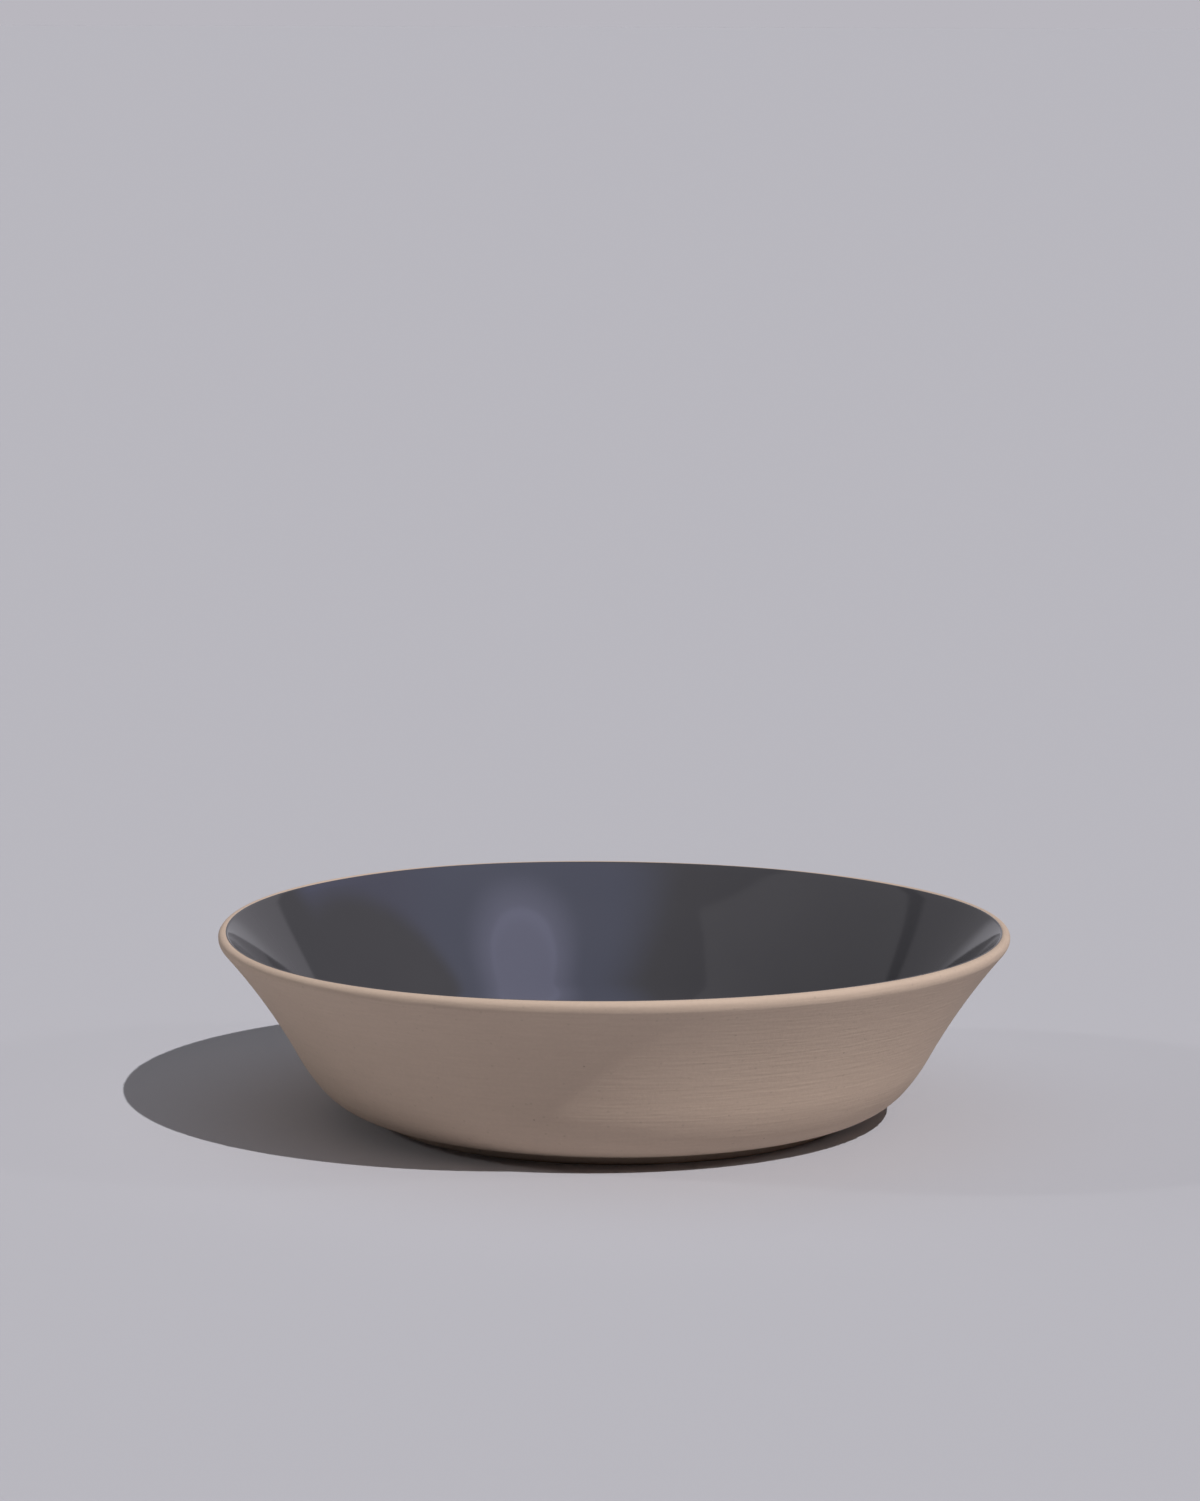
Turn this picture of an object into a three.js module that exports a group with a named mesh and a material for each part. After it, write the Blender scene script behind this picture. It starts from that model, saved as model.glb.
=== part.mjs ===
// A wide, low stoneware vegetable bowl: a turned clay body, bare outside, with a coat of glaze inside.
// Millimetres, +Z up. The bowl's axis is Z, and its foot stands on z = 0.
import * as THREE from "three";

// Driving dimensions of the clay body
const RIM_DIAMETER = 254;
const BOWL_HEIGHT = 61.2;
const BASE_CORNER_RADIUS = 25;
const SHOULDER_RADIUS = 60;
const SHOULDER_TURN = 12.5; // degrees
const FLARE_RADIUS = 208;
const LIP_THICKNESS = 3.4;
const LIP_EASE_RADIUS = 3.5;
const WALL_THICKNESS = 5;
const FLOOR_THICKNESS = 5.5;

// The low foot ring turned underneath, and the recess inside it
const FOOT_DIAMETER = 150;
const FOOT_HEIGHT = 3.2;
const FOOT_RING_WIDTH = 8;
const FOOT_EDGE_RADIUS = 0.5;
const FOOT_FILLET_RADIUS = 1.2;
const FOOT_RECESS_DEPTH = 3;
const FOOT_RECESS_RADIUS = 1.2;

// The coat of glaze, the hair that keeps it off the clay, and how far it climbs the lip while it thins out
const GLAZE_THICKNESS = 0.35;
const GLAZE_CLEARANCE = 0.02;
const GLAZE_EDGE_TURN = 24; // degrees

// Facets: steps round the axis, and along each round of the profile
const TURN_STEPS = 72;
const CORNER_STEPS = 8;
const SHOULDER_STEPS = 3;
const FLARE_STEPS = 6;
const LIP_STEPS = 3;
const SMALL_ROUND_STEPS = 4;

const STONEWARE = { color: 0xcbb4a1, roughness: 0.85, metalness: 0 };
const GLAZE = { color: 0x4c4b4f, roughness: 0.12, metalness: 0 };

const HALF_TURN = Math.PI;
const QUARTER_TURN = Math.PI / 2;

// Profile points are (radius, height) pairs in a half plane through the axis.
function point(radius, height) {
  return new THREE.Vector2(radius, height);
}

// The point at a distance and an angle from a centre. Angles start at the outward direction.
function polar(centre, distance, angle) {
  return point(centre.x + distance * Math.cos(angle), centre.y + distance * Math.sin(angle));
}

// An angle given in degrees, in radians.
function turn(degrees) {
  return (degrees * HALF_TURN) / 180;
}

// The angle at which one point lies from another.
function bearing(from, to) {
  return Math.atan2(to.y - from.y, to.x - from.x);
}

// Points on an arc, both ends included.
function arc(centre, radius, start, end, steps) {
  const points = [];
  for (let step = 0; step <= steps; step += 1) {
    points.push(polar(centre, radius, start + ((end - start) * step) / steps));
  }
  return points;
}

// Where two circles meet, on the right of the line from the first centre to the second.
function meeting(centreA, radiusA, centreB, radiusB) {
  const span = centreA.distanceTo(centreB);
  const along = (span * span + radiusA * radiusA - radiusB * radiusB) / (2 * span);
  const aside = Math.sqrt(radiusA * radiusA - along * along);
  return polar(centreA, radiusA, bearing(centreA, centreB) - Math.atan2(aside, along));
}

// One outline from several stretches, without the doubled points where they run into each other.
function joined(...stretches) {
  const doubled = 1e-6;
  return stretches.flat().filter((here, index, all) => {
    return index === 0 || here.distanceTo(all[index - 1]) > doubled;
  });
}

// The lip is a full round as thick as the edge of the wall. Below its widest place a wider round eases
// it into the outside.
const lipRadius = LIP_THICKNESS / 2;
const lipCentre = point(RIM_DIAMETER / 2 - lipRadius, BOWL_HEIGHT - lipRadius);
const easeCentre = point(RIM_DIAMETER / 2 - LIP_EASE_RADIUS, lipCentre.y);

// The centre of a hollow flare that touches a round of the wall and the ease under the lip.
function flareOff(centre, radius) {
  return meeting(centre, FLARE_RADIUS + radius, easeCentre, FLARE_RADIUS + LIP_EASE_RADIUS);
}

// Outside, the base corner turns up over the foot ring, and eases into a wider shoulder shortly before
// it would run into the flare. The hollow of the flare joins the shoulder to the lip.
const footRadius = FOOT_DIAMETER / 2;
const cornerStart = footRadius + FOOT_FILLET_RADIUS;
const outerCornerCentre = point(cornerStart, FOOT_HEIGHT + BASE_CORNER_RADIUS);
const cornerAlone = bearing(outerCornerCentre, flareOff(outerCornerCentre, BASE_CORNER_RADIUS));
const shoulderStart = cornerAlone - turn(SHOULDER_TURN);
const shoulderOffset = BASE_CORNER_RADIUS - SHOULDER_RADIUS;
const outerShoulderCentre = polar(outerCornerCentre, shoulderOffset, shoulderStart);
const outerFlareCentre = flareOff(outerShoulderCentre, SHOULDER_RADIUS);

// Inside, the same rounds lie one wall further in, over a level floor.
const floorHeight = FOOT_RECESS_DEPTH + FLOOR_THICKNESS;
const innerCornerRadius = BASE_CORNER_RADIUS - WALL_THICKNESS;
const innerShoulderRadius = SHOULDER_RADIUS - WALL_THICKNESS;
const innerFlareRadius = FLARE_RADIUS + WALL_THICKNESS;
const innerCornerCentre = point(cornerStart, floorHeight + innerCornerRadius);
const innerShoulderCentre = polar(innerCornerCentre, shoulderOffset, shoulderStart);
const innerFlareCentre = meeting(
  innerShoulderCentre,
  innerFlareRadius + innerShoulderRadius,
  lipCentre,
  innerFlareRadius - lipRadius,
);

// Angles at which the rounds run into each other
const outerShoulderEnd = bearing(outerShoulderCentre, outerFlareCentre);
const easeStart = bearing(easeCentre, outerFlareCentre);
const innerLipEnd = bearing(innerFlareCentre, lipCentre);
const innerShoulderEnd = bearing(innerShoulderCentre, innerFlareCentre);

// The underside: a shallow round recess, the foot ring's land with eased edges, and a fillet above it.
function underside() {
  const edgeRadius = Math.min(FOOT_EDGE_RADIUS, FOOT_RECESS_DEPTH / 2, FOOT_HEIGHT / 2);
  const recessRadius = Math.min(FOOT_RECESS_RADIUS, FOOT_RECESS_DEPTH - edgeRadius);
  const filletRadius = Math.min(FOOT_FILLET_RADIUS, FOOT_HEIGHT - edgeRadius);
  const recessWall = footRadius - FOOT_RING_WIDTH;
  const recessCentre = point(recessWall - recessRadius, FOOT_RECESS_DEPTH - recessRadius);
  const innerEdgeCentre = point(recessWall + edgeRadius, edgeRadius);
  const outerEdgeCentre = point(footRadius - edgeRadius, edgeRadius);
  const filletCentre = point(footRadius + filletRadius, FOOT_HEIGHT - filletRadius);
  return joined(
    [point(0, FOOT_RECESS_DEPTH)],
    arc(recessCentre, recessRadius, QUARTER_TURN, 0, SMALL_ROUND_STEPS),
    arc(innerEdgeCentre, edgeRadius, HALF_TURN, HALF_TURN + QUARTER_TURN, SMALL_ROUND_STEPS),
    arc(outerEdgeCentre, edgeRadius, -QUARTER_TURN, 0, SMALL_ROUND_STEPS),
    arc(filletCentre, filletRadius, HALF_TURN, QUARTER_TURN, SMALL_ROUND_STEPS),
  );
}

// From the top of the foot ring up the outside, and over the lip.
function outerWall() {
  const flareStart = outerShoulderEnd + HALF_TURN;
  const flareEnd = easeStart + HALF_TURN;
  return joined(
    arc(outerCornerCentre, BASE_CORNER_RADIUS, -QUARTER_TURN, shoulderStart, CORNER_STEPS),
    arc(outerShoulderCentre, SHOULDER_RADIUS, shoulderStart, outerShoulderEnd, SHOULDER_STEPS),
    arc(outerFlareCentre, FLARE_RADIUS, flareStart, flareEnd, FLARE_STEPS),
    arc(easeCentre, LIP_EASE_RADIUS, easeStart, 0, LIP_STEPS),
    arc(lipCentre, lipRadius, 0, QUARTER_TURN, LIP_STEPS),
    arc(lipCentre, lipRadius, QUARTER_TURN, innerLipEnd, LIP_STEPS),
  );
}

// From the end of the lip's round down the inside to the axis, a given distance off the clay.
function innerWall(off) {
  const flareEnd = innerShoulderEnd + HALF_TURN;
  return joined(
    arc(innerFlareCentre, innerFlareRadius + off, innerLipEnd, flareEnd, FLARE_STEPS),
    arc(innerShoulderCentre, innerShoulderRadius - off, innerShoulderEnd, shoulderStart, SHOULDER_STEPS),
    arc(innerCornerCentre, innerCornerRadius - off, shoulderStart, -QUARTER_TURN, CORNER_STEPS),
    [point(0, floorHeight + off)],
  );
}

// The glaze's upper edge on the lip's round: from nothing at the bare clay, over a quarter of an ellipse,
// to full thickness where the inner wall begins.
function glazeEdge() {
  const points = [];
  for (let step = 0; step <= SMALL_ROUND_STEPS; step += 1) {
    const angle = (QUARTER_TURN * step) / SMALL_ROUND_STEPS;
    const off = GLAZE_CLEARANCE + GLAZE_THICKNESS * Math.sin(angle);
    points.push(polar(lipCentre, lipRadius + off, innerLipEnd - turn(GLAZE_EDGE_TURN) * Math.cos(angle)));
  }
  return points;
}

// The glaze's back, from the axis up the clay to the tip of its edge on the lip.
function glazeBack() {
  const edgeTip = innerLipEnd - turn(GLAZE_EDGE_TURN);
  const lipStretch = arc(lipCentre, lipRadius + GLAZE_CLEARANCE, innerLipEnd, edgeTip, SMALL_ROUND_STEPS);
  return joined(innerWall(GLAZE_CLEARANCE).toReversed(), lipStretch);
}

// A named piece turned about the axis from its section, which starts and ends there.
function turned(name, section, finish) {
  const geometry = new THREE.LatheGeometry(section, TURN_STEPS);
  geometry.rotateX(QUARTER_TURN);
  const mesh = new THREE.Mesh(geometry, new THREE.MeshStandardMaterial(finish));
  mesh.name = name;
  return mesh;
}

const claySection = joined(underside(), outerWall(), innerWall(0));
const glazeSection = joined(glazeBack(), glazeEdge(), innerWall(GLAZE_CLEARANCE + GLAZE_THICKNESS));

const bowl = new THREE.Group();
bowl.name = "vegetable_bowl";
bowl.add(turned("stoneware_body", claySection, STONEWARE));
bowl.add(turned("interior_glaze", glazeSection, GLAZE));

export default bowl;
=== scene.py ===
"""The looks of a stoneware vegetable bowl: fine turned meshes, bare fired clay, glaze and a soft studio.

Metres, +Z up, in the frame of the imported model: the bowl's axis is Z and its foot stands on z = 0.
"""

import logging
import math
from collections.abc import Callable
from dataclasses import dataclass, field
from enum import Enum
from functools import cached_property

import bmesh
import bpy
from mathutils import Matrix, Vector


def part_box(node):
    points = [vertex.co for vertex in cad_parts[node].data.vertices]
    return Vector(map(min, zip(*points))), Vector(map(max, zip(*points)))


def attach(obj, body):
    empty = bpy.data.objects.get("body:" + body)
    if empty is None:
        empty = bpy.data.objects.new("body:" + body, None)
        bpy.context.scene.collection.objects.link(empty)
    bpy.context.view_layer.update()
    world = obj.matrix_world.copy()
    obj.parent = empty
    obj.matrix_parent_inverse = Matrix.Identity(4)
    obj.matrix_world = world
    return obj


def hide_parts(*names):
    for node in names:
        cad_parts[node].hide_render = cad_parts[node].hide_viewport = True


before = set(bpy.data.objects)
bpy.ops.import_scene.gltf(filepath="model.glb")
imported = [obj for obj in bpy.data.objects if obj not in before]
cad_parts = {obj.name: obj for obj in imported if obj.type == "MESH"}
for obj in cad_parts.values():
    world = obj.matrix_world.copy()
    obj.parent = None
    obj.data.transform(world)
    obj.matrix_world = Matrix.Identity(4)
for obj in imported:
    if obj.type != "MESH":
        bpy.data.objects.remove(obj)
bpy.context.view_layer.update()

LOG = logging.getLogger("vegetable_bowl")

MM = 0.001
QUARTER_TURN = math.pi / 2
HALF_TURN = math.pi
FULL_TURN = math.tau

# A direction or place times this keeps only its level part.
LEVEL = (1, 1, 0)

# Sockets of the Mix node for colours, by number because several of them share a name
MIX_SHARE = 0
MIX_UNDER = 6
MIX_OVER = 7
MIX_RESULT = 2

Sockets = dict[str | int, object]


def linear(code: str) -> tuple[float, float, float, float]:
    """Turns an sRGB hex colour to linear light.

    Args:
        code: Six hex digits, red first.

    Returns:
        Linear red, green and blue, and an alpha of 1.
    """
    values = [int(code[start:start + 2], 16) / 255 for start in (0, 2, 4)]
    # The standard sRGB curve: straight near black, and a power above it
    lit = [v / 12.92 if v <= 0.04045 else ((v + 0.055) / 1.055) ** 2.4 for v in values]
    return (lit[0], lit[1], lit[2], 1.0)


def add_node(
    tree: bpy.types.NodeTree,
    kind: str,
    sockets: Sockets | None = None,
    **settings: object,
) -> bpy.types.Node:
    """Adds one shader node with its settings and links.

    Args:
        tree: The node tree that gets the node.
        kind: The node's type name.
        sockets: For an input's name or number, its value or the output that feeds it.
        **settings: The node's own properties.

    Returns:
        The new node.
    """
    node = tree.nodes.new(kind)
    for name, value in settings.items():
        setattr(node, name, value)
    for key, value in (sockets or {}).items():
        if isinstance(value, bpy.types.NodeSocket):
            tree.links.new(value, node.inputs[key])
        else:
            node.inputs[key].default_value = value
    return node


def new_material(name: str) -> tuple[bpy.types.Material, bpy.types.NodeTree]:
    """Starts a material with an empty node tree.

    Args:
        name: The finish's common name.

    Returns:
        The material and its tree.
    """
    material = bpy.data.materials.new(name)
    material.use_nodes = True
    material.node_tree.nodes.clear()
    return material, material.node_tree


def bearing(start: Vector, end: Vector) -> float:
    """Gives the angle at which one point of a section lies from another."""
    return math.atan2(end.y - start.y, end.x - start.x)


def polar(centre: Vector, distance: float, angle: float) -> Vector:
    """Gives the point at a distance and an angle from a centre of a section."""
    return centre + Vector((math.cos(angle), math.sin(angle))) * distance


def meeting(first: Vector, first_radius: float, second: Vector, second_radius: float) -> Vector:
    """Finds where two circles meet, on the right of the line between their centres.

    Args:
        first: Centre of the first circle.
        first_radius: Its radius.
        second: Centre of the second circle.
        second_radius: Its radius.

    Returns:
        The meeting point.
    """
    span = (second - first).length
    along = (span**2 + first_radius**2 - second_radius**2) / (2 * span)
    aside = math.sqrt(first_radius**2 - along**2)
    return polar(first, first_radius, bearing(first, second) - math.atan2(aside, along))


@dataclass(frozen=True)
class RimWave:
    """One wave round the rim: so many lobes, with a height and the angle of one crest."""

    lobes: int
    height: float
    crest: float

    def at(self, angle: float) -> float:
        """Gives the wave's height at an angle round the bowl."""
        return self.height * math.cos(self.lobes * (angle - self.crest))


@dataclass(frozen=True)
class BowlForm:
    """The bowl's half section: sizes in metres, and the rounds that they lead to.

    Points of the section are (radius, height) pairs, and angles start at the outward direction.
    """

    rim_radius: float
    height: float
    base_corner: float = 25 * MM
    shoulder: float = 60 * MM
    shoulder_turn: float = math.radians(12.5)
    flare: float = 208 * MM
    lip_radius: float = 1.7 * MM
    lip_ease: float = 3.5 * MM
    wall: float = 5 * MM
    floor: float = 5.5 * MM
    foot_radius: float = 75 * MM
    foot_height: float = 3.2 * MM
    foot_ring: float = 8 * MM
    foot_edge: float = 0.5 * MM
    foot_fillet: float = 1.2 * MM
    recess_depth: float = 3 * MM
    recess_round: float = 1.2 * MM
    glaze: float = 0.35 * MM
    glaze_edge_turn: float = math.radians(24)
    warp: tuple[RimWave, ...] = (
        RimWave(1, 0.40 * MM, math.radians(63.5)),
        RimWave(2, 0.60 * MM, math.radians(-50.7)),
        RimWave(3, 0.31 * MM, math.radians(26.6)),
    )

    @classmethod
    def from_frame(cls) -> "BowlForm":
        """Takes the rim's radius and the height from the packed clay body."""
        low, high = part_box("stoneware_body")
        return cls(rim_radius=(high.x - low.x) / 2, height=high.z - low.z)

    @cached_property
    def floor_height(self) -> float:
        """Height of the clay floor inside."""
        return self.recess_depth + self.floor

    @cached_property
    def corner_start(self) -> float:
        """Radius at which the base corner starts to turn up."""
        return self.foot_radius + self.foot_fillet

    @cached_property
    def lip(self) -> Vector:
        """Centre of the lip's round."""
        return Vector((self.rim_radius - self.lip_radius, self.height - self.lip_radius))

    @cached_property
    def ease(self) -> Vector:
        """Centre of the wider round that eases the lip into the outside, below its widest place."""
        return Vector((self.rim_radius - self.lip_ease, self.lip.y))

    @cached_property
    def outer_corner(self) -> Vector:
        """Centre of the base corner outside."""
        return Vector((self.corner_start, self.foot_height + self.base_corner))

    @cached_property
    def inner_corner(self) -> Vector:
        """Centre of the base corner inside."""
        return Vector((self.corner_start, self.floor_height + self.base_corner - self.wall))

    @cached_property
    def shoulder_start(self) -> float:
        """Angle at which the corner eases into the shoulder, shortly before it would meet the flare."""
        corner_alone = bearing(self.outer_corner, self.flare_off(self.outer_corner, self.base_corner))
        return corner_alone - self.shoulder_turn

    @cached_property
    def outer_shoulder(self) -> Vector:
        """Centre of the shoulder outside."""
        return polar(self.outer_corner, self.base_corner - self.shoulder, self.shoulder_start)

    @cached_property
    def inner_shoulder(self) -> Vector:
        """Centre of the shoulder inside."""
        return polar(self.inner_corner, self.base_corner - self.shoulder, self.shoulder_start)

    @cached_property
    def outer_flare(self) -> Vector:
        """Centre of the flare outside."""
        return self.flare_off(self.outer_shoulder, self.shoulder)

    @cached_property
    def inner_flare(self) -> Vector:
        """Centre of the flare inside, which touches the shoulder and the lip there."""
        lip_reach = self.flare + self.wall - self.lip_radius
        return meeting(self.inner_shoulder, self.flare + self.shoulder, self.lip, lip_reach)

    @cached_property
    def lip_end(self) -> float:
        """Angle at which the lip's round runs into the inner wall."""
        return bearing(self.inner_flare, self.lip)

    @cached_property
    def inner_shoulder_end(self) -> float:
        """Angle at which the shoulder inside runs into the flare."""
        return bearing(self.inner_shoulder, self.inner_flare)

    @cached_property
    def inner_flare_sweep(self) -> float:
        """Angle that the flare inside turns through, from the lip down to the shoulder."""
        return self.inner_shoulder_end + HALF_TURN - self.lip_end

    def flare_off(self, centre: Vector, radius: float) -> Vector:
        """Gives the centre of an outer flare that touches a round of the wall and the ease under the lip.

        Args:
            centre: The round's centre.
            radius: Its radius.

        Returns:
            The flare's centre.
        """
        return meeting(centre, self.flare + radius, self.ease, self.flare + self.lip_ease)

    def fired(self, place: Vector) -> Vector:
        """Gives where firing left a point: lifted or sunk, not at all at the foot and most at the rim.

        Args:
            place: The point on the true round form.

        Returns:
            The point on the fired bowl.
        """
        angle = math.atan2(place.y, place.x)
        share = (place.z / self.height) ** 2
        return place + Vector((0, 0, share * sum(wave.at(angle) for wave in self.warp)))


class SectionPen:
    """Draws a half section with one moving vertex, stretch by stretch, and turns it into a body."""

    merge_distance = 0.001 * MM

    def __init__(self, start: Vector) -> None:
        """Puts the pen down at a (radius, height) point."""
        self.mesh = bmesh.new()
        self.tip = bmesh.ops.create_vert(self.mesh, co=(start.x, 0, start.y))["vert"][0]

    def line(self, end: Vector, steps: int = 1) -> None:
        """Draws a straight stretch.

        Args:
            end: Where it ends, as radius and height.
            steps: How many edges it has.
        """
        step = (Vector((end.x, 0, end.y)) - self.tip.co) / steps
        for _ in range(steps):
            self.tip = bmesh.ops.extrude_vert_indiv(self.mesh, verts=[self.tip])["verts"][0]
            bmesh.ops.translate(self.mesh, verts=[self.tip], vec=step)

    def arc(self, centre: Vector, sweep: float, steps: int) -> None:
        """Draws a round stretch.

        Args:
            centre: The round's centre, as radius and height.
            sweep: The angle that it turns through, upwards from the outward direction.
            steps: How many edges it has.
        """
        made = bmesh.ops.spin(
            self.mesh,
            geom=[self.tip],
            cent=(centre.x, 0, centre.y),
            axis=(0, -1, 0),
            angle=sweep,
            steps=steps,
            use_merge=False,
        )
        self.tip = next(part for part in made["geom_last"] if isinstance(part, bmesh.types.BMVert))

    def turned(self, name: str, settle: Callable[[Vector], Vector], steps: int) -> bpy.types.Object:
        """Turns the section about Z, settles it as the kiln did and makes it an object.

        Args:
            name: The piece's name.
            settle: Gives where a point of the true round form ended up.
            steps: How many facets go round.

        Returns:
            The finished object, at the origin.
        """
        bmesh.ops.spin(
            self.mesh,
            geom=self.mesh.verts[:] + self.mesh.edges[:],
            cent=(0, 0, 0),
            axis=(0, 0, 1),
            angle=FULL_TURN,
            steps=steps,
            use_merge=True,
        )
        bmesh.ops.remove_doubles(self.mesh, verts=self.mesh.verts[:], dist=self.merge_distance)
        bmesh.ops.recalc_face_normals(self.mesh, faces=self.mesh.faces[:])
        for vertex in self.mesh.verts:
            vertex.co = settle(vertex.co)
        for face in self.mesh.faces:
            face.smooth = True
        mesh = bpy.data.meshes.new(name)
        self.mesh.to_mesh(mesh)
        self.mesh.free()
        piece = bpy.data.objects.new(name, mesh)
        bpy.context.scene.collection.objects.link(piece)
        return piece


@dataclass(frozen=True)
class StonewareFinish:
    """Buff stoneware, turned on a wheel and fired bare."""

    # Dry, matt clay without any shine: its colour drifts a little from place to place, low light catches
    #     # the lines that turning left, a few dark specks of iron break it up, and small pits show as painted
    #     shade.
    light: str = "d0baa6"
    dark: str = "b8a290"
    # The iron specks' own colour, also used for the painted shade in the pits
    speck_and_pit_shade: str = "6b5c52"
    roughness: float = 0.86
    ior: float = 1.5
    mottle_size: float = 40 * MM
    mottle_detail: float = 3.0
    # Grain, turning lines and pits are finer on real clay, and are drawn as coarse as they need to show.
    grain_size: float = 1.2 * MM
    grain_detail: float = 2.0
    grain_share: float = 0.3
    line_spacing: float = 1.4 * MM
    line_length: float = 14 * MM
    line_detail: float = 2.0
    # The pits are painted shade only: darker dots in the colour, with no hollow in the surface.
    pit_spacing: float = 4 * MM
    pit_radius: float = 0.6 * MM
    pit_painted_shade: float = 0.16
    speck_spacing: float = 10 * MM
    speck_radius: float = 0.42 * MM
    speck_depth: float = 0.5
    # The pits' painted shade and the specks are darkest within this share of their radius, and fade out from
    # there.
    dot_core: float = 1 / 3
    relief: float = 0.12 * MM

    def material(self) -> bpy.types.Material:
        """Builds the finish.

        Returns:
            The material.
        """
        material, tree = new_material("bare_buff_stoneware")
        place = add_node(tree, "ShaderNodeTexCoord").outputs["Object"]
        mottle = add_node(
            tree,
            "ShaderNodeTexNoise",
            {"Vector": place, "Scale": 1 / self.mottle_size, "Detail": self.mottle_detail},
        )
        grain = add_node(
            tree,
            "ShaderNodeTexNoise",
            {"Vector": place, "Scale": 1 / self.grain_size, "Detail": self.grain_detail},
        )
        lines = self.turning_lines(tree, place)
        layers = (mottle, grain, lines)
        tone = mottle
        for layer in layers[1:]:
            tone = add_node(
                tree,
                "ShaderNodeMath",
                {0: tone.outputs[0], 1: layer.outputs[0]},
                operation="ADD",
            )
        tone = add_node(tree, "ShaderNodeMath", {0: tone.outputs[0], 1: len(layers)}, operation="DIVIDE")
        clay = add_node(
            tree,
            "ShaderNodeMix",
            {MIX_SHARE: tone.outputs[0], MIX_UNDER: linear(self.dark), MIX_OVER: linear(self.light)},
            data_type="RGBA",
        )
        height = add_node(
            tree,
            "ShaderNodeMath",
            {0: grain.outputs[0], 1: self.grain_share, 2: lines.outputs[0]},
            operation="MULTIPLY_ADD",
        )
        bump = add_node(tree, "ShaderNodeBump", {"Height": height.outputs[0], "Distance": self.relief})
        shader = add_node(
            tree,
            "ShaderNodeBsdfPrincipled",
            {
                "Base Color": self.dotted(tree, place, clay.outputs[MIX_RESULT]),
                "Roughness": self.roughness,
                "IOR": self.ior,
                "Normal": bump.outputs[0],
            },
        )
        add_node(tree, "ShaderNodeOutputMaterial", {"Surface": shader.outputs[0]})
        return material

    def turning_lines(self, tree: bpy.types.NodeTree, place: bpy.types.NodeSocket) -> bpy.types.Node:
        """Draws the turning lines: level round the pot, and coming and going along their length.

        They lie close together in radius plus height, which grows all the way from the foot to the rim.

        Args:
            tree: The finish's node tree.
            place: The place on the piece.

        Returns:
            The node that gives the lines.
        """
        flat = add_node(tree, "ShaderNodeVectorMath", {0: place, 1: LEVEL}, operation="MULTIPLY")
        radius = add_node(tree, "ShaderNodeVectorMath", {0: flat.outputs[0]}, operation="LENGTH")
        axes = add_node(tree, "ShaderNodeSeparateXYZ", {0: place})
        across = add_node(
            tree,
            "ShaderNodeMath",
            {0: radius.outputs["Value"], 1: axes.outputs["Z"]},
            operation="ADD",
        )
        closer = add_node(
            tree,
            "ShaderNodeMath",
            {0: across.outputs[0], 1: self.line_length / self.line_spacing},
            operation="MULTIPLY",
        )
        drawn = add_node(
            tree,
            "ShaderNodeCombineXYZ",
            {"X": axes.outputs["X"], "Y": axes.outputs["Y"], "Z": closer.outputs[0]},
        )
        return add_node(
            tree,
            "ShaderNodeTexNoise",
            {"Vector": drawn.outputs[0], "Scale": 1 / self.line_length, "Detail": self.line_detail},
        )

    def dotted(
        self,
        tree: bpy.types.NodeTree,
        place: bpy.types.NodeSocket,
        colour: bpy.types.NodeSocket,
    ) -> bpy.types.NodeSocket:
        """Strews the painted shade of the pits and the specks of iron over the clay.

        Args:
            tree: The finish's node tree.
            place: The place on the piece.
            colour: The clay's colour without them.

        Returns:
            The colour with them.
        """
        # Each pass darkens the colour: for the pits as painted shade, for the specks as the iron's own
        # colour.
        for spacing, radius, darkness in (
            (self.pit_spacing, self.pit_radius, self.pit_painted_shade),
            (self.speck_spacing, self.speck_radius, self.speck_depth),
        ):
            cells = add_node(tree, "ShaderNodeTexVoronoi", {"Vector": place, "Scale": 1 / spacing})
            reach = radius / spacing
            dots = add_node(
                tree,
                "ShaderNodeMapRange",
                {
                    "Value": cells.outputs["Distance"],
                    "From Min": reach,
                    "From Max": reach * self.dot_core,
                    "To Max": darkness,
                },
            )
            over = add_node(
                tree,
                "ShaderNodeMix",
                {MIX_SHARE: dots.outputs[0], MIX_UNDER: colour, MIX_OVER: linear(self.speck_and_pit_shade)},
                data_type="RGBA",
            )
            colour = over.outputs[MIX_RESULT]
        return colour


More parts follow.
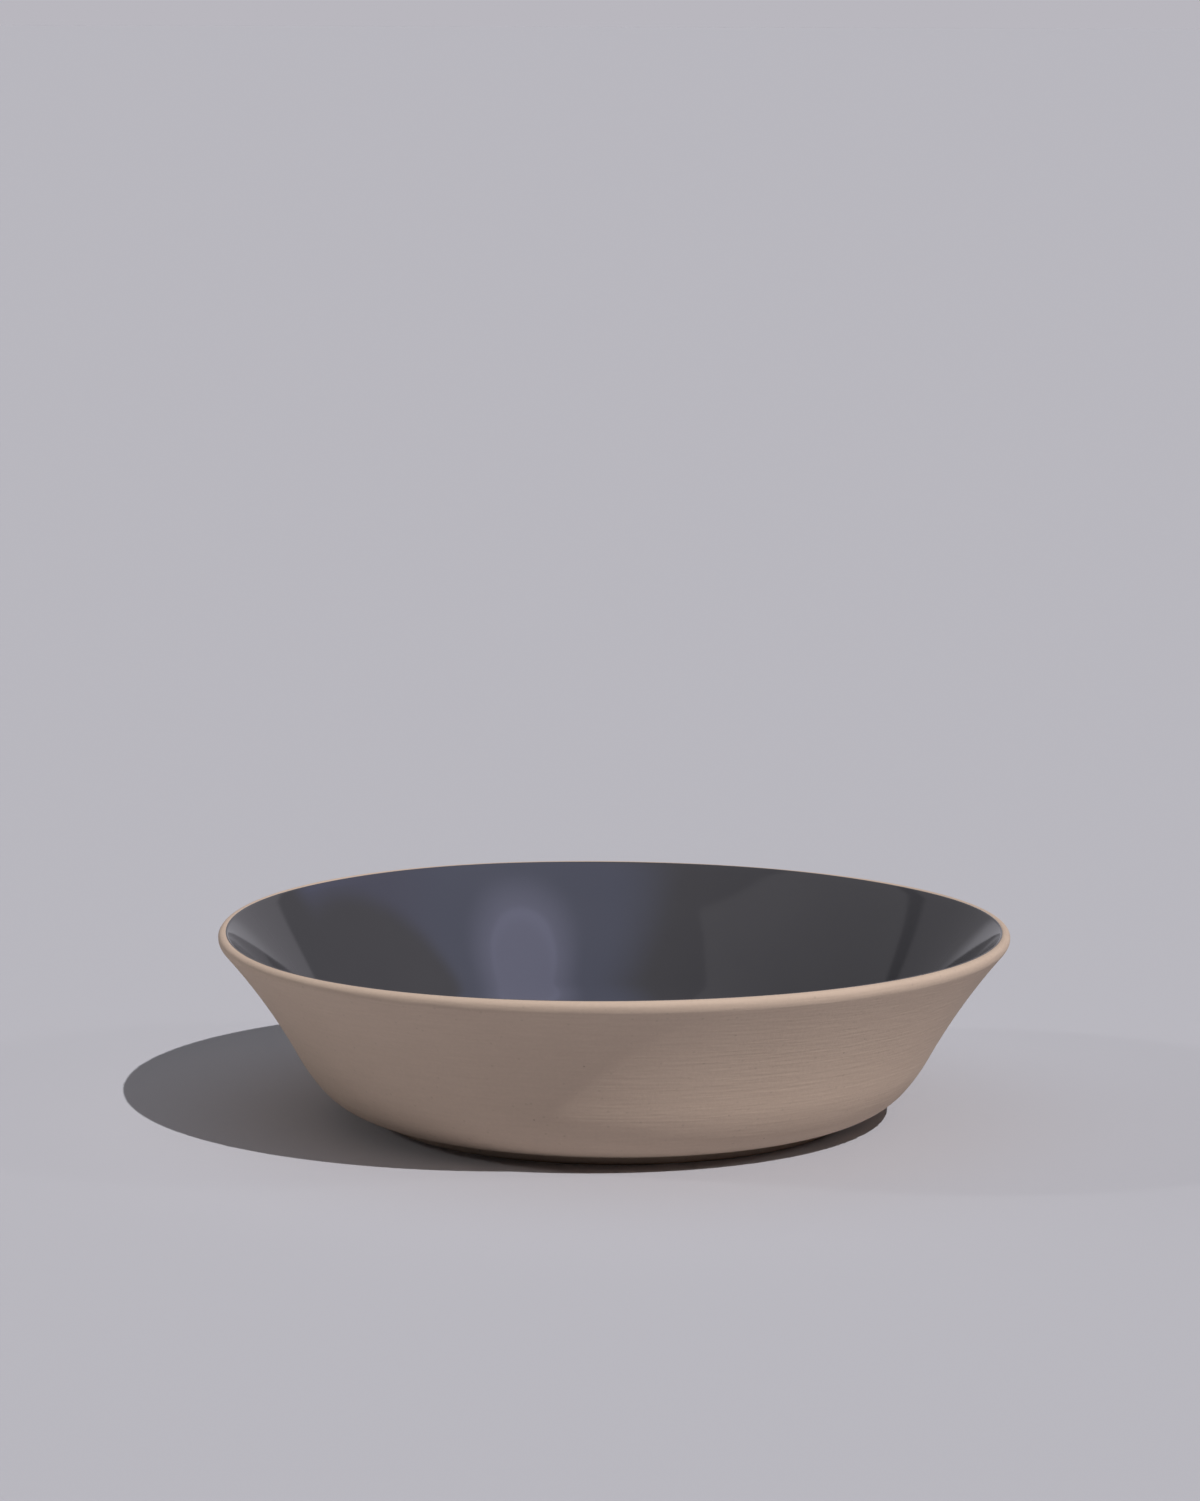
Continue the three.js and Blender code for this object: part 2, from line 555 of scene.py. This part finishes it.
@dataclass(frozen=True)
class GlazeFinish:
    """Opaque charcoal stoneware glaze, poured on and melted to glass in the kiln."""

    # A dark warm grey under a smooth skin of glass: it mirrors its surroundings sharply, and because the
    # melt lies very slightly uneven, their outlines bend a little.
    light: str = "49484b"
    dark: str = "444346"
    roughness: float = 0.07
    ior: float = 1.52
    mottle_size: float = 30 * MM
    mottle_detail: float = 4.0
    wave_size: float = 22 * MM
    wave_detail: float = 1.0
    relief: float = 0.05 * MM

    def material(self) -> bpy.types.Material:
        """Builds the finish.

        Returns:
            The material.
        """
        material, tree = new_material("gloss_charcoal_glaze")
        place = add_node(tree, "ShaderNodeTexCoord").outputs["Object"]
        mottle = add_node(
            tree,
            "ShaderNodeTexNoise",
            {"Vector": place, "Scale": 1 / self.mottle_size, "Detail": self.mottle_detail},
        )
        colour = add_node(
            tree,
            "ShaderNodeMix",
            {MIX_SHARE: mottle.outputs[0], MIX_UNDER: linear(self.dark), MIX_OVER: linear(self.light)},
            data_type="RGBA",
        )
        waves = add_node(
            tree,
            "ShaderNodeTexNoise",
            {"Vector": place, "Scale": 1 / self.wave_size, "Detail": self.wave_detail},
        )
        bump = add_node(tree, "ShaderNodeBump", {"Height": waves.outputs[0], "Distance": self.relief})
        shader = add_node(
            tree,
            "ShaderNodeBsdfPrincipled",
            {
                "Base Color": colour.outputs[MIX_RESULT],
                "Roughness": self.roughness,
                "IOR": self.ior,
                "Normal": bump.outputs[0],
            },
        )
        add_node(tree, "ShaderNodeOutputMaterial", {"Surface": shader.outputs[0]})
        return material


@dataclass
class TurnedPiece:
    """A piece turned about the bowl's axis: its finish, how finely it is drawn, and the inside wall."""

    form: BowlForm
    finish: StonewareFinish | GlazeFinish
    turn_steps: int = 320
    flat_steps: int = 6
    corner_steps: int = 24
    shoulder_steps: int = 8
    flare_steps: int = 20

    def draw_inside(self, pen: SectionPen, floor_height: float) -> None:
        """Draws the inside from the end of the lip's round down to the axis.

        Args:
            pen: The pen, at the end of the lip's round or a coat's thickness off it.
            floor_height: Height at which the floor meets the axis.
        """
        form = self.form
        start = form.shoulder_start
        pen.arc(form.inner_flare, form.inner_flare_sweep, self.flare_steps)
        pen.arc(form.inner_shoulder, start - form.inner_shoulder_end, self.shoulder_steps)
        pen.arc(form.inner_corner, -QUARTER_TURN - start, self.corner_steps)
        pen.line(Vector((0, floor_height)), self.flat_steps)

    def dress(self, piece: bpy.types.Object) -> None:
        """Gives the piece its finish."""
        piece.data.materials.append(self.finish.material())


@dataclass
class ClayBody(TurnedPiece):
    """The turned clay body: foot ring, base corner, flared wall and full-round lip."""

    finish: StonewareFinish = field(default_factory=StonewareFinish)
    ease_steps: int = 8
    lip_steps: int = 20
    small_steps: int = 6

    def draw(self) -> SectionPen:
        """Draws the section from the axis underneath, up the outside, over the lip and back inside.

        Returns:
            The pen with the whole section.
        """
        form = self.form
        start = form.shoulder_start
        shoulder_end = bearing(form.outer_shoulder, form.outer_flare)
        ease_start = bearing(form.ease, form.outer_flare)
        pen = SectionPen(Vector((0, form.recess_depth)))
        self.draw_foot(pen)
        pen.arc(form.outer_corner, start + QUARTER_TURN, self.corner_steps)
        pen.arc(form.outer_shoulder, shoulder_end - start, self.shoulder_steps)
        pen.arc(form.outer_flare, ease_start - shoulder_end, self.flare_steps)
        pen.arc(form.ease, -ease_start, self.ease_steps)
        pen.arc(form.lip, form.lip_end, self.lip_steps)
        self.draw_inside(pen, form.floor_height)
        return pen

    def draw_foot(self, pen: SectionPen) -> None:
        """Draws the recess underneath and the foot ring, up to the fillet above it.

        Args:
            pen: The pen, on the axis at the recess's height.
        """
        form = self.form
        edge = form.foot_edge
        recess_wall = form.foot_radius - form.foot_ring
        recess_flat = recess_wall - form.recess_round
        fillet_height = form.foot_height - form.foot_fillet
        pen.line(Vector((recess_flat, form.recess_depth)), self.flat_steps)
        pen.arc(Vector((recess_flat, form.recess_depth - form.recess_round)), -QUARTER_TURN, self.small_steps)
        pen.line(Vector((recess_wall, edge)))
        pen.arc(Vector((recess_wall + edge, edge)), QUARTER_TURN, self.small_steps)
        pen.line(Vector((form.foot_radius - edge, 0)))
        pen.arc(Vector((form.foot_radius - edge, edge)), QUARTER_TURN, self.small_steps)
        pen.line(Vector((form.foot_radius, fillet_height)))
        pen.arc(Vector((form.corner_start, fillet_height)), -QUARTER_TURN, self.small_steps)

    def build(self) -> bpy.types.Object:
        """Turns, dresses and places the piece.

        Returns:
            The clay body.
        """
        piece = self.draw().turned("bare_clay_body", self.form.fired, self.turn_steps)
        self.dress(piece)
        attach(piece, "root")
        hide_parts("stoneware_body")
        return piece


@dataclass
class GlazeCoat(TurnedPiece):
    """The coat of glaze inside, which thins out at a rounded edge where the bare lip begins."""

    finish: GlazeFinish = field(default_factory=GlazeFinish)
    edge_steps: int = 8
    # How much of its even climb up the lip the edge takes: on the whole, and in waves round the rim
    edge_mean: float = 0.91
    edge_waves: tuple[RimWave, ...] = (
        RimWave(3, 0.15, math.radians(-39.6)),
        RimWave(4, 0.11, math.radians(-7.9)),
        RimWave(7, 0.16, math.radians(13.5)),
    )

    def draw(self) -> SectionPen:
        """Draws the section from the axis up the clay, over the coat's edge and back down its free face.

        Returns:
            The pen with the whole section.
        """
        form = self.form
        start = form.shoulder_start
        pen = SectionPen(Vector((0, form.floor_height)))
        pen.line(Vector((form.corner_start, form.floor_height)), self.flat_steps)
        pen.arc(form.inner_corner, start + QUARTER_TURN, self.corner_steps)
        pen.arc(form.inner_shoulder, form.inner_shoulder_end - start, self.shoulder_steps)
        pen.arc(form.inner_flare, -form.inner_flare_sweep, self.flare_steps)
        pen.arc(form.lip, -form.glaze_edge_turn, self.edge_steps)
        # The edge swells from nothing to the coat's thickness in a quarter of an ellipse.
        for step in range(1, self.edge_steps + 1):
            angle = QUARTER_TURN * step / self.edge_steps
            off = form.lip_radius + form.glaze * math.sin(angle)
            pen.line(polar(form.lip, off, form.lip_end - form.glaze_edge_turn * math.cos(angle)))
        self.draw_inside(pen, form.floor_height + form.glaze)
        return pen

    def settle(self, place: Vector) -> Vector:
        """Lets the coat's edge wander along the lip, as a poured edge does, and then fires it.

        Args:
            place: The point on the true round form.

        Returns:
            The point on the fired bowl.
        """
        lip = self.form.lip
        lip_end = self.form.lip_end
        radius = math.hypot(place.x, place.y)
        spot = Vector((radius, place.z))
        climb = lip_end - bearing(lip, spot)
        # Of the whole coat only its edge lies less than a quarter turn up the lip's round.
        if 0 < climb < QUARTER_TURN:
            angle = math.atan2(place.y, place.x)
            share = self.edge_mean + sum(wave.at(angle) for wave in self.edge_waves)
            moved = polar(lip, (spot - lip).length, lip_end - climb * share)
            place = Vector((place.x * moved.x / radius, place.y * moved.x / radius, moved.y))
        return self.form.fired(place)

    def build(self) -> bpy.types.Object:
        """Turns, dresses and places the piece.

        Returns:
            The glaze coat.
        """
        piece = self.draw().turned("charcoal_glaze_coat", self.settle, self.turn_steps)
        self.dress(piece)
        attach(piece, "root")
        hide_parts("interior_glaze")
        return piece


class GlowForm(Enum):
    """How a patch of light stands in the surround."""

    ROUND = "round"
    UPRIGHT = "upright"


@dataclass(frozen=True)
class Glow:
    """One patch of light in the surround: round like a lamp's halo, or upright like a tall card.

    It is full within the inner angle from its direction, and gone at the outer one.
    """

    towards: tuple[float, float, float]
    inner: float
    outer: float
    colour: str
    strength: float = 1.0
    form: GlowForm = GlowForm.ROUND

    def mix(
        self,
        tree: bpy.types.NodeTree,
        way: bpy.types.NodeSocket,
        behind: bpy.types.NodeSocket | tuple[float, ...],
    ) -> bpy.types.NodeSocket:
        """Lays the patch over what is behind it.

        Args:
            tree: The surround's node tree.
            way: The direction that is looked along.
            behind: The light there without this patch.

        Returns:
            The light with it.
        """
        axis = Vector(self.towards)
        if self.form is GlowForm.UPRIGHT:
            axis.z = 0
            flat = add_node(tree, "ShaderNodeVectorMath", {0: way, 1: LEVEL}, operation="MULTIPLY")
            unit = add_node(tree, "ShaderNodeVectorMath", {0: flat.outputs[0]}, operation="NORMALIZE")
            way = unit.outputs[0]
        nearness = add_node(
            tree,
            "ShaderNodeVectorMath",
            {0: way, 1: axis.normalized()},
            operation="DOT_PRODUCT",
        )
        share = add_node(
            tree,
            "ShaderNodeMapRange",
            {
                "Value": nearness.outputs["Value"],
                "From Min": math.cos(self.outer),
                "From Max": math.cos(self.inner),
            },
            interpolation_type="SMOOTHSTEP",
        )
        light = [self.strength * value for value in linear(self.colour)[:3]] + [1.0]
        over = add_node(
            tree,
            "ShaderNodeMix",
            {MIX_SHARE: share.outputs[0], MIX_UNDER: behind, MIX_OVER: light},
            data_type="RGBA",
        )
        return over.outputs[MIX_RESULT]


@dataclass(frozen=True)
class Lamp:
    """A far lamp as wide as its angle, which lights surfaces but leaves no burnt spot in the glaze."""

    name: str
    towards: tuple[float, float, float]
    strength: float
    colour: str
    spread: float

    def build(self) -> bpy.types.Object:
        """Makes the lamp.

        Returns:
            The lamp's object.
        """
        data = bpy.data.lights.new(self.name, "SUN")
        data.energy = self.strength
        data.color = linear(self.colour)[:3]
        data.angle = self.spread
        lamp = bpy.data.objects.new(self.name, data)
        lamp.rotation_mode = "QUATERNION"
        lamp.rotation_quaternion = Vector(self.towards).to_track_quat("Z", "Y")
        lamp.visible_glossy = False
        bpy.context.scene.collection.objects.link(lamp)
        return lamp


# The surround's dim ground, and the bright lamp that the glaze mirrors
DIM = "3f4044"
LAMP_LIGHT = "c5c9f8"
LAMP_WAY = (0.442, -0.458, 0.772)


@dataclass
class Studio:
    """A plain pale floor that runs to the horizon, the lamps that light it, and a surround to mirror."""

    floor_colour: str = "bebdc2"
    floor_radius: float = 600.0
    floor_sides: int = 96
    # A pale band as light as the lit floor hides the horizon's line. It fades out between these heights,
    # and towards the front between these depths.
    horizon: str = "b9b7be"
    horizon_top: tuple[float, float] = (0.15, 0.22)
    horizon_front: tuple[float, float] = (-0.3, -0.7)
    # Each patch lies over those before it: two pale cards behind and one at the left, a dim ceiling, the
    # lamp's cool halo in two parts, a dim right side, and the lamp itself in three.
    glows: tuple[Glow, ...] = (
        Glow((-0.41, 0.91, 0.0), math.radians(23), math.radians(25), "8a888d", form=GlowForm.UPRIGHT),
        Glow((0.34, 0.94, 0.0), math.radians(19.5), math.radians(21), "a4a1a8", form=GlowForm.UPRIGHT),
        Glow((-0.997, -0.08, 0.0), math.radians(40.2), math.radians(41.8), "949397", form=GlowForm.UPRIGHT),
        Glow((0.0, 0.0, 1.0), math.radians(27.5), math.radians(29.5), DIM),
        Glow((0.53, 0.2, 0.82), math.radians(22), math.radians(30), "8690d3"),
        Glow((0.37, -0.38, 0.85), math.radians(20), math.radians(37), "a0b4f4"),
        Glow((1.0, 0.1, 0.0), math.radians(42.3), math.radians(47), DIM),
        Glow(LAMP_WAY, 0.0, math.radians(18.5), LAMP_LIGHT, strength=2.5),
        Glow(LAMP_WAY, math.radians(9.4), math.radians(10.3), LAMP_LIGHT, strength=2.8),
        Glow((0.460, -0.477, 0.749), math.radians(7.5), math.radians(10.5), LAMP_LIGHT, strength=2.5),
    )
    lamps: tuple[Lamp, ...] = (
        Lamp("key", (0.592, -0.724, 1.0), 2.95, "fefdff", math.radians(0.53)),
        Lamp("top_fill", (-0.1, 0.1, 1.0), 0.57, "f6f7ff", math.radians(80)),
        Lamp("back_fill", (-0.92, 0.3, 0.33), 0.24, "ffffff", math.radians(40)),
        Lamp("left_fill", (-0.89, -0.1, 0.46), 0.3, "ffffff", math.radians(3)),
        Lamp("right_fill", (0.89, -0.15, 0.46), 0.17, "ffffff", math.radians(3)),
    )

    def build_floor(self) -> bpy.types.Object:
        """Makes the floor.

        Returns:
            The floor's object.
        """
        shape = bmesh.new()
        bmesh.ops.create_circle(
            shape,
            cap_ends=True,
            cap_tris=True,
            segments=self.floor_sides,
            radius=self.floor_radius,
        )
        mesh = bpy.data.meshes.new("floor")
        shape.to_mesh(mesh)
        shape.free()
        floor = bpy.data.objects.new("floor", mesh)
        bpy.context.scene.collection.objects.link(floor)
        # Matt paint: evenly pale from every side, with a shadow on it but no reflection
        material, tree = new_material("pale_studio_floor")
        shader = add_node(tree, "ShaderNodeBsdfDiffuse", {"Color": linear(self.floor_colour)})
        add_node(tree, "ShaderNodeOutputMaterial", {"Surface": shader.outputs[0]})
        mesh.materials.append(material)
        return floor

    def build_surround(self) -> None:
        """Makes the surround: dim, with the patches of light and a pale horizon."""
        world = bpy.data.worlds.new("surround")
        bpy.context.scene.world = world
        world.use_nodes = True
        # Only reflections and the camera see the surround. Matt surfaces take their light from the lamps.
        world.cycles_visibility.diffuse = False
        tree = world.node_tree
        tree.nodes.clear()
        way = add_node(tree, "ShaderNodeTexCoord").outputs["Generated"]
        light = linear(DIM)
        for glow in self.glows:
            light = glow.mix(tree, way, light)
        axes = add_node(tree, "ShaderNodeSeparateXYZ", {0: way})
        fades = []
        for axis, (full, gone) in (("Z", self.horizon_top), ("Y", self.horizon_front)):
            fade = add_node(
                tree,
                "ShaderNodeMapRange",
                {"Value": axes.outputs[axis], "From Min": full, "From Max": gone},
            )
            fades.append(fade.outputs[0])
        clear = add_node(tree, "ShaderNodeMath", {0: fades[0], 1: fades[1]}, operation="MAXIMUM")
        seen = add_node(
            tree,
            "ShaderNodeMix",
            {MIX_SHARE: clear.outputs[0], MIX_UNDER: linear(self.horizon), MIX_OVER: light},
            data_type="RGBA",
        )
        shade = add_node(tree, "ShaderNodeBackground", {"Color": seen.outputs[MIX_RESULT]})
        add_node(tree, "ShaderNodeOutputWorld", {"Surface": shade.outputs[0]})

    def build(self) -> None:
        """Builds the floor, the lamps and the surround."""
        for part in (self.build_floor(), *(lamp.build() for lamp in self.lamps)):
            LOG.info("studio %s", part.name)
        self.build_surround()
        bpy.context.scene.view_settings.view_transform = "Standard"


@dataclass(frozen=True)
class PhotoCamera:
    """The camera at the photograph's place and angle. The frame's long side is the sensor's width."""

    place: tuple[float, float, float] = (0.0, -1.58418, 0.34831)
    pitch_down: float = math.radians(8.2614)
    yaw: float = math.radians(-0.1711)
    roll: float = math.radians(0.192)
    lens_mm: float = 120.0
    sensor_mm: float = 36.0

    def build(self) -> bpy.types.Object:
        """Makes the camera and gives it to the scene.

        Returns:
            The camera's object.
        """
        data = bpy.data.cameras.new("camera")
        data.lens = self.lens_mm
        data.sensor_width = self.sensor_mm
        camera = bpy.data.objects.new("camera", data)
        turn = Matrix.Rotation(-self.yaw, 4, "Z")
        tilt = Matrix.Rotation(QUARTER_TURN - self.pitch_down, 4, "X")
        lean = Matrix.Rotation(self.roll, 4, "Z")
        camera.matrix_world = Matrix.Translation(self.place) @ turn @ tilt @ lean
        bpy.context.scene.collection.objects.link(camera)
        bpy.context.scene.camera = camera
        return camera


def main() -> None:
    """Builds the camera, the studio and the bowl, in that order."""
    logging.basicConfig(level=logging.INFO, format="%(message)s")
    PhotoCamera().build()
    Studio().build()
    form = BowlForm.from_frame()
    for part in (ClayBody(form), GlazeCoat(form)):
        piece = part.build()
        LOG.info("%s: %d faces", piece.name, len(piece.data.polygons))


if __name__ == "__main__":
    main()
